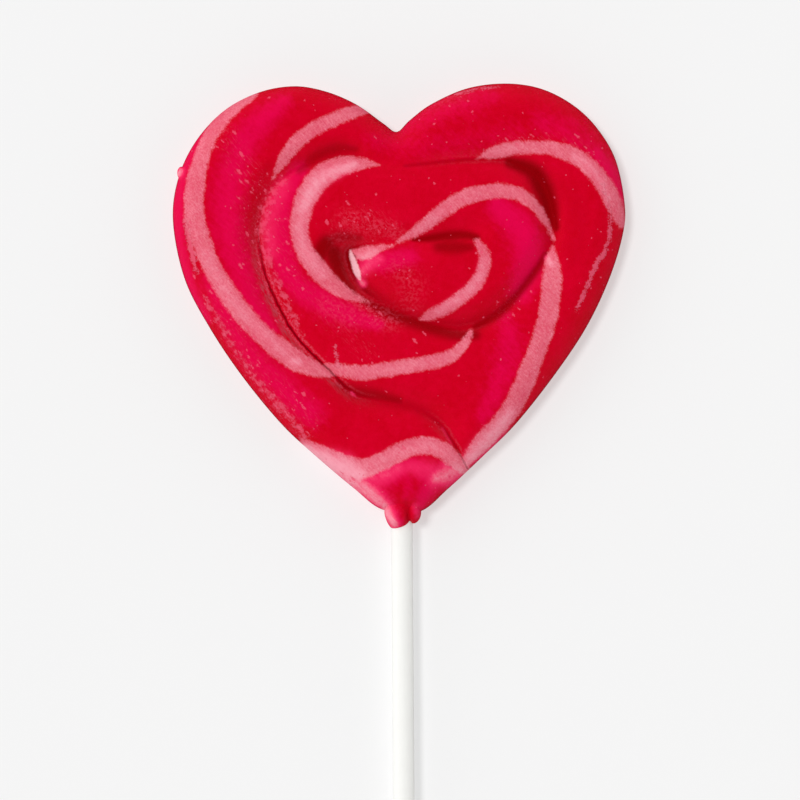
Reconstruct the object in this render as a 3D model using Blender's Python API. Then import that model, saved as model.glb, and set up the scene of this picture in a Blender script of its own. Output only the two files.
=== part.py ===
"""Heart-shaped swirl lollipop, lying on its flat back with the swirl up and the stick towards -Y.

One rope of boiled sugar is coiled twice and pressed into a heart, so the head is a single
body: a pillowed heart whose coil line is a groove on the face and a fine seam on the back.
The origin is on the flat back, under the middle of the heart. Lengths are in millimetres
until a mesh is made, because Blender's own unit here is the metre.
"""

import math

import bmesh
import bpy
import numpy as np
from mathutils import Matrix, Vector
from mathutils.geometry import delaunay_2d_cdt

MM = 0.001

# Driving dimensions of the head
HEAD_WIDTH = 80.0
EQUATOR = 4.3
OUTER_COIL_TOP = 9.3
INNER_COIL_TOP = 10.8
INNER_COIL_MIDDLE = (3.0, 6.0)
INNER_COIL_REACH = 20.0
FACE_RIM = 6.0
BACK_RIM = 3.6
ROPE_ROUNDING = 5.2
VALLEY_REACH = 4.2
VALLEY_SHARE = 0.35
SEAM_DEPTH = 0.7
SEAM_ROUNDING = 1.4

# The hollow beside the rope's inner end
POCKET_MIDDLE = (-10.6, 7.6)
POCKET_SIZE = (2.4, 4.4)
POCKET_DEPTH = 1.7

# Driving dimensions of the stick
STICK_DIAMETER = 3.9
STICK_LENGTH = 150.0
STICK_INSIDE = 35.0
STICK_HEIGHT = 4.4
STICK_LEAN = math.radians(0.4)
STICK_MOUTH = (0.5, -40.5)
STICK_END_ROUNDING = 0.25
FIT_GAP = 0.3

# Mesh spacing
OUTLINE_STEP = 1.7
GROOVE_STEP = 1.5
FACE_STEP = 3.2
BACK_STEP = 6.0
FACE_GROOVE_ROWS = (0.0, 0.55, 1.5, 3.0)
FACE_RIM_ROWS = (0.35, 1.3, 3.0)
BACK_GROOVE_ROWS = (0.0, 1.4)
BACK_RIM_ROWS = (0.4, 1.4, 3.6)

# Anchors of the heart's outline, as shares of the head's width, anticlockwise from the stick
OUTLINE = (
    (0.045, -0.471), (0.110, -0.419), (0.186, -0.348), (0.259, -0.276), (0.343, -0.170),
    (0.414, -0.064), (0.465, 0.043), (0.495, 0.140), (0.500, 0.208), (0.480, 0.307),
    (0.438, 0.379), (0.383, 0.431), (0.313, 0.466), (0.235, 0.477), (0.150, 0.466),
    (0.071, 0.431), (0.024, 0.396), (-0.005, 0.370), (-0.034, 0.388), (-0.095, 0.431),
    (-0.164, 0.460), (-0.235, 0.471), (-0.314, 0.456), (-0.391, 0.414), (-0.454, 0.343),
    (-0.491, 0.259), (-0.500, 0.166), (-0.474, 0.043), (-0.419, -0.064), (-0.348, -0.170),
    (-0.261, -0.276), (-0.184, -0.348), (-0.100, -0.419), (-0.037, -0.466),
)

# Anchors of the coil line from the eye outwards: X and Y as shares of the head's width, and
# how deep the groove is there in millimetres
COIL_LINE = (
    (0.215, 0.149, 0.0), (0.169, 0.155, 1.3), (0.109, 0.141, 2.2), (0.042, 0.126, 1.5),
    (-0.031, 0.119, 1.6), (-0.104, 0.110, 2.6), (-0.109, 0.078, 3.2), (-0.086, 0.031, 3.0),
    (-0.044, -0.005, 2.3), (0.005, -0.035, 2.1), (0.078, -0.060, 2.3), (0.149, -0.064, 2.4),
    (0.215, -0.038, 2.3), (0.268, 0.011, 2.3), (0.314, 0.075, 2.2), (0.343, 0.130, 2.5),
    (0.339, 0.204, 2.7), (0.313, 0.264, 2.5), (0.259, 0.299, 2.0), (0.206, 0.308, 1.6),
    (0.113, 0.303, 1.0), (0.014, 0.291, 1.0), (-0.064, 0.301, 1.1), (-0.113, 0.313, 1.7),
    (-0.178, 0.303, 1.7), (-0.241, 0.276, 1.4), (-0.290, 0.228, 1.7), (-0.310, 0.149, 1.9),
    (-0.294, 0.053, 1.5), (-0.256, -0.034, 1.3), (-0.221, -0.089, 1.3), (-0.153, -0.159, 1.7),
    (-0.098, -0.208, 2.1), (-0.031, -0.226, 1.9), (0.046, -0.248, 1.9), (0.093, -0.279, 1.6),
    (0.124, -0.325, 1.3), (0.152, -0.375, 1.0),
)

# Drips round the stick and a crumb on the rim: centre and half sizes
DRIPS = {
    "drip_sleeve": ((0.4, -36.4, 4.4), (3.1, 4.8, 3.3)),
    "drip_long": ((-0.9, -38.0, 4.9), (1.9, 2.8, 2.7)),
    "drip_short": ((2.2, -37.6, 4.7), (1.2, 2.2, 2.7)),
    "rim_crumb": ((-38.7, 22.4, 4.8), (0.9, 1.2, 1.2)),
}

CANDY_RED = (0.60, 0.004, 0.022, 1.0)
STICK_WHITE = (0.90, 0.90, 0.87, 1.0)


def clear_scene():
    for item in list(bpy.data.objects):
        bpy.data.objects.remove(item, do_unlink=True)


def make_material(name, colour, roughness):
    material = bpy.data.materials.new(name)
    material.use_nodes = True
    shader = material.node_tree.nodes["Principled BSDF"]
    shader.inputs["Base Color"].default_value = colour
    shader.inputs["Roughness"].default_value = roughness
    shader.inputs["Metallic"].default_value = 0.0
    material.diffuse_color = colour
    return material


def smooth_curve(anchors, step, closed=False):
    """A Catmull-Rom curve through the anchors, with points about one step apart."""
    anchors = np.array(anchors, dtype=float)
    if closed:
        padded = np.vstack([anchors[-1:], anchors, anchors[:2]])
    else:
        padded = np.vstack([2 * anchors[0] - anchors[1], anchors, 2 * anchors[-1] - anchors[-2]])
    share = np.linspace(0.0, 1.0, 16, endpoint=False)[:, None]
    spans = []
    for before, start, end, after in zip(padded, padded[1:], padded[2:], padded[3:]):
        linear = (end - before) * share
        square = (2 * before - 5 * start + 4 * end - after) * share ** 2
        cube = (3 * start - before - 3 * end + after) * share ** 3
        spans.append(start + 0.5 * (linear + square + cube))
    last = anchors[:1] if closed else anchors[-1:]
    fine = np.vstack(spans + [last])
    travelled = np.concatenate([[0.0], np.cumsum(np.linalg.norm(np.diff(fine[:, :2], axis=0), axis=1))])
    count = max(2, round(travelled[-1] / step))
    stations = np.linspace(0.0, travelled[-1], count + 1)
    curve = np.column_stack([np.interp(stations, travelled, column) for column in fine.T])
    return curve[:-1] if closed else curve


def nearest_on_line(points, line):
    """Distance of each point to a line of points, and the line's further values there."""
    start = line[:-1, :2]
    run = line[1:, :2] - start
    relative = points[:, None, :] - start
    along = np.clip((relative * run).sum(axis=2) / (run ** 2).sum(axis=1), 0.0, 1.0)
    distance = np.linalg.norm(relative - along[:, :, None] * run, axis=2)
    row = np.arange(len(points))
    best = distance.argmin(axis=1)
    share = along[row, best][:, None]
    values = line[best, 2:] * (1 - share) + line[best + 1, 2:] * share
    return distance[row, best], values


def inside(points, outline):
    """Whether each point lies inside the closed outline, by counting crossings."""
    x, y = points[:, :1], points[:, 1:2]
    x0, y0 = outline[:, 0], outline[:, 1]
    x1, y1 = np.roll(x0, -1), np.roll(y0, -1)
    spans = (y0 > y) != (y1 > y)
    rise = np.where(y1 == y0, 1.0, y1 - y0)
    crossing = x0 + (y - y0) * (x1 - x0) / rise
    return ((spans & (x < crossing)).sum(axis=1) % 2) == 1


def normals_of(line, closed):
    """Unit normals on the right-hand side of a line of points."""
    xy = line[:, :2]
    tangent = np.roll(xy, -1, axis=0) - np.roll(xy, 1, axis=0)
    if not closed:
        tangent[0] = xy[1] - xy[0]
        tangent[-1] = xy[-1] - xy[-2]
    tangent /= np.linalg.norm(tangent, axis=1)[:, None]
    return np.column_stack([tangent[:, 1], -tangent[:, 0]])


def roundness(share):
    """Quarter-circle rise from 0 at an edge to 1 at a crest."""
    return np.sqrt(1.0 - (1.0 - np.clip(share, 0.0, 1.0)) ** 2)


class Heart:
    """The head's plan: its outline and coil line, and the heights of its face and back."""

    def __init__(self):
        self.outline = smooth_curve(np.array(OUTLINE) * HEAD_WIDTH, OUTLINE_STEP, closed=True)
        self.edge = np.vstack([self.outline, self.outline[:1]])
        self.coil = smooth_curve(np.array(COIL_LINE) * (HEAD_WIDTH, HEAD_WIDTH, 1.0), GROOVE_STEP)

    def face_height(self, points):
        to_edge, _ = nearest_on_line(points, self.edge)
        to_groove, groove = nearest_on_line(points, self.coil)
        rim = roundness(to_edge / FACE_RIM)
        from_middle = np.linalg.norm(points - INNER_COIL_MIDDLE, axis=1) / INNER_COIL_REACH
        crest = OUTER_COIL_TOP + (INNER_COIL_TOP - OUTER_COIL_TOP) * np.exp(-from_middle ** 2)
        crease = 1.0 - roundness(to_groove / ROPE_ROUNDING)
        dip = np.exp(-(to_groove / VALLEY_REACH) ** 2)
        valley = groove[:, 0] * (crease * (1.0 - VALLEY_SHARE) + dip * VALLEY_SHARE)
        in_pocket = (((points - POCKET_MIDDLE) / POCKET_SIZE) ** 2).sum(axis=1)
        pocket = POCKET_DEPTH * np.exp(-in_pocket)
        return EQUATOR + (crest - EQUATOR - valley - pocket) * rim

    def back_height(self, points):
        to_edge, _ = nearest_on_line(points, self.edge)
        to_groove, _ = nearest_on_line(points, self.coil)
        seam = SEAM_DEPTH * (1.0 - roundness(to_groove / SEAM_ROUNDING))
        rim = roundness(to_edge / BACK_RIM)
        return EQUATOR * (1.0 - rim) + seam * rim

    def offset_rows(self, line, distances, closed):
        """Copies of a line moved sideways, both ways for an open line and inwards for the outline."""
        normal = normals_of(line, closed)
        sides = (-1.0,) if closed else (-1.0, 1.0)
        rows = []
        for distance in distances:
            for side in sides if distance else (1.0,):
                rows.append(line[:, :2] + side * distance * normal)
        return rows

    def spread_points(self, rim_rows, groove_rows, filler_step):
        """Mesh points: the outline first, then rows along rim and groove, then an even filler."""
        candidates = []
        for distance, row in zip(rim_rows, self.offset_rows(self.outline, rim_rows, True)):
            to_edge, _ = nearest_on_line(row, self.edge)
            row = row[to_edge > 0.97 * distance]
            candidates.append((row, 0.3 * OUTLINE_STEP + 0.25 * distance))
        for row in self.offset_rows(self.coil, groove_rows, False):
            candidates.append((row, 0.3 * GROOVE_STEP))
        row_height = filler_step * math.sin(math.radians(60.0))
        half = HEAD_WIDTH / 2
        filler = []
        for line_number in range(int(2 * half / row_height) + 1):
            shift = filler_step / 2 * (line_number % 2)
            across = np.arange(-half + shift, half, filler_step)
            filler.append(np.column_stack([across, np.full(len(across), line_number * row_height - half)]))
        candidates.append((np.vstack(filler), 0.6 * filler_step))
        kept = self.outline.copy()
        for row, clearance in candidates:
            row = row[inside(row, self.outline)]
            to_edge, _ = nearest_on_line(row, self.edge)
            row = row[to_edge > 0.3]
            for point in row:
                if np.min(np.hypot(*(kept - point).T)) > clearance:
                    kept = np.vstack([kept, point])
        return kept

    def surface(self, rim_rows, groove_rows, filler_step):
        """Points and triangles that fill the outline; the outline's points stay first."""
        points = self.spread_points(rim_rows, groove_rows, filler_step)
        loop = list(range(len(self.outline)))
        vertices, _, faces, _, _, _ = delaunay_2d_cdt(
            [Vector(point) for point in points], [], [loop], 1, 1e-5)
        return np.array(vertices), [tuple(face) for face in faces]


def make_head(heart):
    """The face and the back share the outline's points, which run round the widest part."""
    face, face_triangles = heart.surface(FACE_RIM_ROWS, FACE_GROOVE_ROWS, FACE_STEP)
    back, back_triangles = heart.surface(BACK_RIM_ROWS, BACK_GROOVE_ROWS, BACK_STEP)
    shared = len(heart.outline)
    face_points = np.column_stack([face, heart.face_height(face)])
    back_points = np.column_stack([back, heart.back_height(back)])
    face_points[:shared, 2] = EQUATOR
    vertices = np.vstack([face_points, back_points[shared:]]) * MM
    shift = len(face) - shared
    lower = [tuple(i if i < shared else i + shift for i in reversed(face)) for face in back_triangles]
    mesh = bpy.data.meshes.new("candy")
    mesh.from_pydata([tuple(vertex) for vertex in vertices], [], face_triangles + lower)
    mesh.update()
    head = bpy.data.objects.new("candy", mesh)
    bpy.context.collection.objects.link(head)
    return head


def make_drip(name, centre, half_sizes):
    """A rounded blob of sugar, used to build up the head."""
    mesh = bpy.data.meshes.new(name)
    body = bmesh.new()
    bmesh.ops.create_icosphere(body, subdivisions=3, radius=1.0, matrix=Matrix.Diagonal((*half_sizes, 1.0)))
    bmesh.ops.scale(body, vec=(MM, MM, MM), verts=body.verts)
    body.to_mesh(mesh)
    body.free()
    drip = bpy.data.objects.new(name, mesh)
    drip.location = Vector(centre) * MM
    bpy.context.collection.objects.link(drip)
    return drip


def make_rod(name, diameter, length, end_rounding):
    """A round rod along +Y from its own origin, at the stick's place and lean."""
    mesh = bpy.data.meshes.new(name)
    body = bmesh.new()
    bmesh.ops.create_cone(
        body, cap_ends=True, segments=32, radius1=diameter / 2 * MM, radius2=diameter / 2 * MM,
        depth=length * MM, matrix=Matrix.Rotation(math.radians(-90.0), 4, "X"))
    bmesh.ops.translate(body, vec=(0.0, length / 2 * MM, 0.0), verts=body.verts)
    if end_rounding:
        rims = [edge for edge in body.edges if abs(edge.verts[0].co.y - edge.verts[1].co.y) < 1e-6]
        bmesh.ops.bevel(body, geom=rims, offset=end_rounding * MM, segments=2, affect="EDGES", profile=0.5)
    body.to_mesh(mesh)
    body.free()
    rod = bpy.data.objects.new(name, mesh)
    bpy.context.collection.objects.link(rod)
    return rod


def place_rod(rod, inner_end_depth, length):
    """Puts a rod's inner end a given depth past the mouth, on the stick's leaning axis."""
    direction = Vector((-math.sin(STICK_LEAN), math.cos(STICK_LEAN), 0.0))
    mouth = Vector((*STICK_MOUTH, STICK_HEIGHT))
    rod.location = (mouth + direction * (inner_end_depth - length)) * MM
    rod.rotation_euler = (0.0, 0.0, STICK_LEAN)


def combine(target, tool, operation):
    """Adds or cuts a shape that stays in the scene as a hidden guide."""
    tool.hide_render = True
    tool.display_type = "WIRE"
    modifier = target.modifiers.new(tool.name, "BOOLEAN")
    modifier.operation = operation
    modifier.object = tool
    modifier.solver = "EXACT"


def make_candy():
    head = make_head(Heart())
    for name, (centre, half_sizes) in DRIPS.items():
        combine(head, make_drip(name, centre, half_sizes), "UNION")
    socket_depth = STICK_INSIDE + FIT_GAP
    socket_length = socket_depth + 12.0
    socket = make_rod("stick_socket", STICK_DIAMETER + 2 * FIT_GAP, socket_length, 0.0)
    place_rod(socket, socket_depth, socket_length)
    combine(head, socket, "DIFFERENCE")
    head.data.materials.append(make_material("red_candy", CANDY_RED, 0.32))
    head.data.shade_smooth()
    head.data.set_sharp_from_angle(angle=math.radians(50.0))
    return head


def make_stick():
    stick = make_rod("stick", STICK_DIAMETER, STICK_LENGTH, STICK_END_ROUNDING)
    place_rod(stick, STICK_INSIDE, STICK_LENGTH)
    stick.data.materials.append(make_material("white_paper", STICK_WHITE, 0.6))
    stick.data.shade_smooth()
    stick.data.set_sharp_from_angle(angle=math.radians(40.0))
    return stick


def main():
    clear_scene()
    make_candy()
    make_stick()
    bpy.context.view_layer.update()


main()
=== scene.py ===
"""Heart swirl lollipop: the boiled-sugar head, its paper stick and the stage it lies on.

The head is one coiled rope of sugar pressed into a heart. Its face is a height map over the
heart's outline, with the coil line cut into it, and the colours follow named routes over that
face. Plan sizes below are in millimetres, seen from above with +Y towards the lobes.
"""

import math

import bmesh
import bpy
import numpy as np
from bpy.props import FloatProperty, FloatVectorProperty, PointerProperty
from mathutils import Matrix, Vector, noise
from mathutils.geometry import delaunay_2d_cdt


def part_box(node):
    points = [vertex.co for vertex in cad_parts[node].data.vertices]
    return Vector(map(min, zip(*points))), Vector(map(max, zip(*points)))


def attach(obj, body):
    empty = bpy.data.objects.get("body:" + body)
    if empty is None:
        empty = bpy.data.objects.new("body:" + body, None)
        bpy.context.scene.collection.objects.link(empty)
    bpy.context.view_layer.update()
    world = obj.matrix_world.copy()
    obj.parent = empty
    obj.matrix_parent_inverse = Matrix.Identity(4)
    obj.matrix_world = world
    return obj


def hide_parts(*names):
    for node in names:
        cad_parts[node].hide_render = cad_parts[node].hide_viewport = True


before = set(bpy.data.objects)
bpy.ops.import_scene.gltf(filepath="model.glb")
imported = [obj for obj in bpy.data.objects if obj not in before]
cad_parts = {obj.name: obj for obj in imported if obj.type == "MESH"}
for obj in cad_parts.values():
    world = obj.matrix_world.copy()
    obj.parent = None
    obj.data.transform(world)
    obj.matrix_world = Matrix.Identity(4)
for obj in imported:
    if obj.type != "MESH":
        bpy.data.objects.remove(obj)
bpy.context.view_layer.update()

bl_info = {
    "name": "Heart Swirl Lollipop",
    "version": (1, 0, 0),
    "blender": (4, 5, 0),
    "location": "View3D > Sidebar > Lollipop",
    "description": "Builds a heart-shaped swirl lollipop on a paper stick, with a pale stage",
    "category": "Add Mesh",
}

MM = 0.001
WHITE = (1.0, 1.0, 1.0)
HEAD_LOW, HEAD_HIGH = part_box("candy")
STICK_LOW, STICK_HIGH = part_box("stick")

# Anchors of the heart's outline, as shares of the head's width, anticlockwise from the stick
OUTLINE = (
    (0.045, -0.471), (0.110, -0.419), (0.186, -0.348), (0.259, -0.276), (0.343, -0.170),
    (0.414, -0.064), (0.465, 0.043), (0.495, 0.140), (0.500, 0.208), (0.480, 0.307),
    (0.438, 0.379), (0.383, 0.431), (0.313, 0.466), (0.235, 0.477), (0.150, 0.466),
    (0.071, 0.431), (0.024, 0.396), (-0.005, 0.370), (-0.034, 0.388), (-0.095, 0.431),
    (-0.164, 0.460), (-0.235, 0.471), (-0.314, 0.456), (-0.391, 0.414), (-0.454, 0.343),
    (-0.491, 0.259), (-0.500, 0.166), (-0.474, 0.043), (-0.419, -0.064), (-0.348, -0.170),
    (-0.261, -0.276), (-0.184, -0.348), (-0.100, -0.419), (-0.037, -0.466),
)

# Anchors of the coil line from the eye outwards: X and Y as shares of the head's width, how far
# the inner and the outer side drop to the line in millimetres, and how open the crack is there
COIL_LINE = (
    (0.205, 0.130, 0.0, 0.0, 0.0), (0.163, 0.146, 0.9, 1.0, 0.0), (0.109, 0.138, 1.3, 1.6, 0.0),
    (0.042, 0.126, 1.1, 1.3, 0.0), (-0.031, 0.119, 0.8, 1.3, 0.0), (-0.104, 0.110, 2.2, 2.6, 0.2),
    (-0.109, 0.078, 2.8, 3.2, 0.3), (-0.086, 0.031, 2.6, 2.6, 0.2), (-0.044, -0.005, 2.5, 1.5, 0.0),
    (0.005, -0.035, 2.3, 1.2, 0.0), (0.078, -0.060, 2.4, 1.2, 0.0), (0.149, -0.064, 2.5, 1.0, 0.1),
    (0.215, -0.038, 2.4, 1.0, 0.0), (0.268, 0.011, 2.3, 0.9, 0.0), (0.314, 0.075, 2.2, 0.8, 0.0),
    (0.343, 0.130, 2.5, 0.8, 0.0), (0.339, 0.204, 3.0, 1.0, 0.0), (0.313, 0.264, 3.0, 1.3, 0.0),
    (0.259, 0.299, 2.2, 1.6, 0.0), (0.206, 0.308, 1.2, 1.4, 0.2), (0.113, 0.303, 0.6, 0.9, 0.1),
    (0.014, 0.291, 0.6, 0.9, 0.0), (-0.064, 0.301, 0.7, 1.5, 0.0), (-0.113, 0.313, 0.9, 2.2, 0.0),
    (-0.178, 0.303, 1.0, 2.4, 0.0), (-0.241, 0.276, 0.9, 1.8, 0.1), (-0.290, 0.228, 1.0, 2.2, 0.1),
    (-0.310, 0.149, 1.0, 2.4, 0.3), (-0.294, 0.053, 0.8, 1.8, 0.8), (-0.256, -0.034, 0.7, 1.4, 1.0),
    (-0.221, -0.089, 0.7, 1.3, 1.0), (-0.153, -0.159, 1.0, 1.7, 0.9), (-0.098, -0.208, 1.3, 2.1, 0.3),
    (-0.031, -0.226, 1.5, 1.8, 0.0), (0.046, -0.248, 1.8, 1.2, 0.0), (0.093, -0.279, 1.6, 1.2, 0.2),
    (0.124, -0.325, 1.3, 1.0, 0.4), (0.152, -0.375, 1.0, 0.8, 0.6),
)

# Centrelines of the pale stripes: X, Y and the stripe's width there
PALE_STRIPES = {
    "eye": (
        (13.8, 9.9, 1.2), (14.9, 8.0, 1.8), (15.0, 5.7, 2.1), (13.8, 3.0, 2.3), (11.7, 0.7, 2.3),
        (8.5, -1.6, 2.3), (5.2, -3.1, 1.7), (3.8, -3.7, 0.5),
    ),
    "inner_top": (
        (-0.2, 9.9, 0.5), (3.4, 12.0, 1.9), (6.9, 14.7, 2.5), (10.1, 17.0, 2.7), (13.8, 18.4, 2.7),
        (18.1, 18.9, 2.5), (21.4, 18.1, 2.3), (23.9, 16.3, 1.9), (25.8, 13.6, 1.2), (27.3, 10.4, 0.4),
    ),
    "inner_left": (
        (-3.5, 23.5, 0.2), (-6.5, 23.7, 2.1), (-10.4, 23.2, 3.5), (-13.5, 21.5, 4.0),
        (-15.6, 19.0, 3.9), (-17.0, 15.6, 3.5), (-17.5, 11.9, 3.1), (-16.5, 8.3, 3.2),
        (-14.5, 5.3, 3.5), (-11.9, 2.7, 3.0), (-9.0, 0.7, 2.0), (-5.2, -0.6, 0.2),
    ),
    "lower": (
        (-12.9, -12.2, 1.4), (-9.6, -12.7, 2.3), (-6.5, -13.1, 2.5), (-3.2, -12.7, 2.5),
        (1.1, -12.0, 2.5), (5.3, -11.3, 2.5), (8.7, -10.4, 2.3), (10.8, -8.8, 1.8),
        (11.9, -7.4, 1.4), (12.6, -5.8, 0.7),
    ),
    "right": (
        (27.1, 9.4, 0.2), (26.9, 6.5, 2.5), (26.9, 2.7, 3.4), (26.5, -1.1, 3.5), (25.8, -4.8, 3.4),
        (24.6, -8.3, 3.2), (23.2, -12.0, 3.4), (21.8, -15.4, 3.5), (20.2, -18.8, 3.4),
        (18.2, -21.6, 3.2), (15.8, -24.2, 3.2), (13.6, -26.5, 2.8), (11.9, -28.8, 1.8),
    ),
    "right_top": (
        (13.6, 24.6, 0.2), (17.0, 25.8, 2.1), (21.2, 26.5, 2.3), (25.8, 26.5, 2.3), (29.0, 25.8, 2.7),
        (32.0, 24.4, 2.8), (34.5, 22.1, 3.0), (36.5, 19.3, 3.2), (38.1, 16.3, 3.0), (39.3, 13.3, 1.8),
    ),
    "left_top": (
        (-5.1, 34.0, 1.8), (-8.7, 32.6, 2.3), (-12.0, 31.3, 2.5), (-15.2, 29.7, 2.5),
        (-17.7, 27.8, 2.5), (-19.5, 25.7, 2.3), (-20.9, 23.5, 1.5), (-22.3, 21.0, 0.2),
    ),
    "left": (
        (-26.0, 36.3, 2.1), (-28.7, 34.2, 2.5), (-31.3, 31.5, 2.7), (-33.5, 28.1, 2.7),
        (-34.9, 24.4, 2.8), (-35.8, 20.5, 3.4), (-36.1, 16.8, 3.5), (-35.8, 13.3, 3.5),
        (-34.5, 9.4, 3.4), (-33.1, 6.0, 3.2), (-31.2, 2.5, 3.4), (-29.0, -0.7, 3.5),
        (-26.4, -3.9, 3.5), (-23.2, -7.1, 3.5), (-20.0, -9.6, 3.7), (-17.0, -11.5, 3.4),
        (-14.0, -12.7, 2.3), (-11.5, -13.3, 0.9),
    ),
    "bottom": (
        (-16.6, -26.0, 2.5), (-13.3, -27.6, 3.0), (-9.9, -29.2, 3.5), (-6.5, -29.9, 3.4),
        (-3.2, -28.8, 3.2), (0.0, -27.1, 3.2), (2.8, -26.0, 3.0), (5.7, -26.0, 3.0),
        (8.1, -27.1, 3.0), (10.1, -28.7, 2.7), (11.9, -30.4, 1.8),
    ),
    "tip": (
        (-8.3, 8.4, 0.8), (-7.2, 7.9, 2.0), (-5.8, 8.0, 2.4), (-4.3, 8.5, 1.8), (-2.7, 9.0, 0.9),
        (-1.1, 9.2, 0.3),
    ),
}

# Worn-off stripes
FAINT_STRIPES = {
    "inner_edge": (
        (-20.2, 20.7, 1.1), (-22.5, 17.9, 1.6), (-23.7, 14.9, 1.8), (-24.1, 11.5, 1.8),
        (-23.5, 8.3, 1.4), (-22.5, 5.1, 1.0), (-21.1, 1.9, 0.7), (-18.9, -2.3, 0.4), (-17.0, -6.5, 0.2),
    ),
    "low_left": (
        (-34.3, 0.2, 0.3), (-32.9, -2.1, 0.4), (-31.3, -4.8, 0.6), (-29.4, -8.1, 0.5),
        (-27.6, -10.8, 0.5), (-25.5, -14.0, 0.7), (-23.2, -16.6, 0.9), (-21.1, -19.1, 1.0),
        (-18.4, -22.1, 1.2), (-16.1, -25.0, 1.4),
    ),
}

# Hairlines of pale sugar
HAIRLINES = {
    "right_lip": (
        (35.9, 20.2, 0.5), (36.4, 17.8, 0.6), (37.1, 15.2, 0.65), (37.3, 13.0, 0.6), (37.0, 10.5, 0.7),
        (36.1, 8.0, 0.9), (34.8, 6.1, 0.8), (33.5, 3.0, 0.75), (32.2, 0.1, 0.6), (31.2, -2.3, 0.4),
    ),
    "right_crown": ((9.9, 36.0, 0.3), (13.5, 37.0, 0.4), (17.5, 37.5, 0.3)),
    "left_sliver": ((-37.7, 13.6, 0.7), (-37.0, 10.4, 0.9), (-36.3, 7.3, 0.9), (-35.6, 4.4, 0.5)),
    "spur": ((-11.3, -8.3, 0.4), (-11.0, -10.1, 0.5), (-10.8, -11.9, 0.7)),
}

# Where the red turns to magenta, partly cloudy sugar and partly painted sheen on the crests and rims that
# face the light: X, Y and half width, with a strength for each route
MAGENTA_AND_SHEEN_ROUTES = (
    (1.0, ((-31.3, 33.8, 1.6), (-35.2, 28.5, 1.6), (-38.1, 22.8, 1.6), (-39.1, 15.8, 1.6),
           (-38.8, 8.7, 1.6), (-37.0, 1.9, 1.6), (-34.3, -3.4, 1.4))),
    (0.75, ((-20.5, 34.5, 2.0), (-24.4, 31.1, 3.0), (-28.0, 26.0, 3.2), (-29.9, 19.3, 3.6),
            (-29.9, 12.2, 3.6), (-27.8, 5.1, 3.2), (-25.7, -0.2, 2.4), (-22.5, -5.5, 1.8))),
    (0.5, ((1.1, 30.3, 2.4), (5.8, 32.4, 3.0), (11.2, 34.2, 3.0), (16.1, 35.6, 2.2))),
    (0.35, ((-4.5, 28.0, 2.4), (2.0, 27.0, 3.0), (8.0, 27.2, 3.0), (14.0, 28.0, 2.6),
            (21.0, 29.5, 2.4))),
    (0.5, ((25.0, 30.8, 2.6), (30.6, 29.0, 3.0), (35.2, 25.3, 2.6))),
    (0.85, ((34.8, 25.6, 1.6), (37.9, 21.4, 2.1), (39.3, 17.5, 1.4))),
    (0.9, ((17.5, 16.0, 2.4), (21.8, 11.6, 3.2), (23.0, 6.6, 3.2), (21.4, 1.2, 2.4))),
    (0.9, ((-17.5, 22.5, 1.8), (-20.4, 17.9, 2.5), (-21.1, 11.2, 2.7), (-20.0, 5.5, 2.7),
           (-17.5, 1.9, 2.5), (-12.2, -1.2, 2.8), (-7.6, -3.4, 2.1), (-3.6, -4.6, 1.3))),
    (0.9, ((-6.2, 6.2, 1.4), (-2.3, 6.5, 2.1), (1.9, 7.3, 1.8))),
    (0.6, ((18.9, -3.4, 1.8), (19.4, -9.0, 3.0), (17.5, -15.2, 2.6), (15.0, -20.5, 2.0))),
    (0.75, ((-33.5, 3.5, 1.8), (-30.0, -4.0, 2.4), (-26.0, -10.0, 2.8), (-20.5, -15.8, 3.2),
            (-15.5, -20.5, 2.8))),
    (1.0, ((-8.7, -32.4, 2.8), (-2.2, -31.2, 2.4), (2.0, -29.4, 1.6), (5.8, -31.2, 2.6),
           (8.3, -31.3, 2.8))),
    (1.0, ((-3.6, -34.4, 2.2), (-1.8, -37.4, 1.8), (-0.4, -39.6, 1.3))),
    (0.9, ((5.6, -33.0, 2.2), (4.2, -35.4, 1.5), (3.3, -37.4, 0.9))),
    (0.45, ((1.8, -31.8, 1.6), (1.4, -34.6, 1.4))),
)

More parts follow.
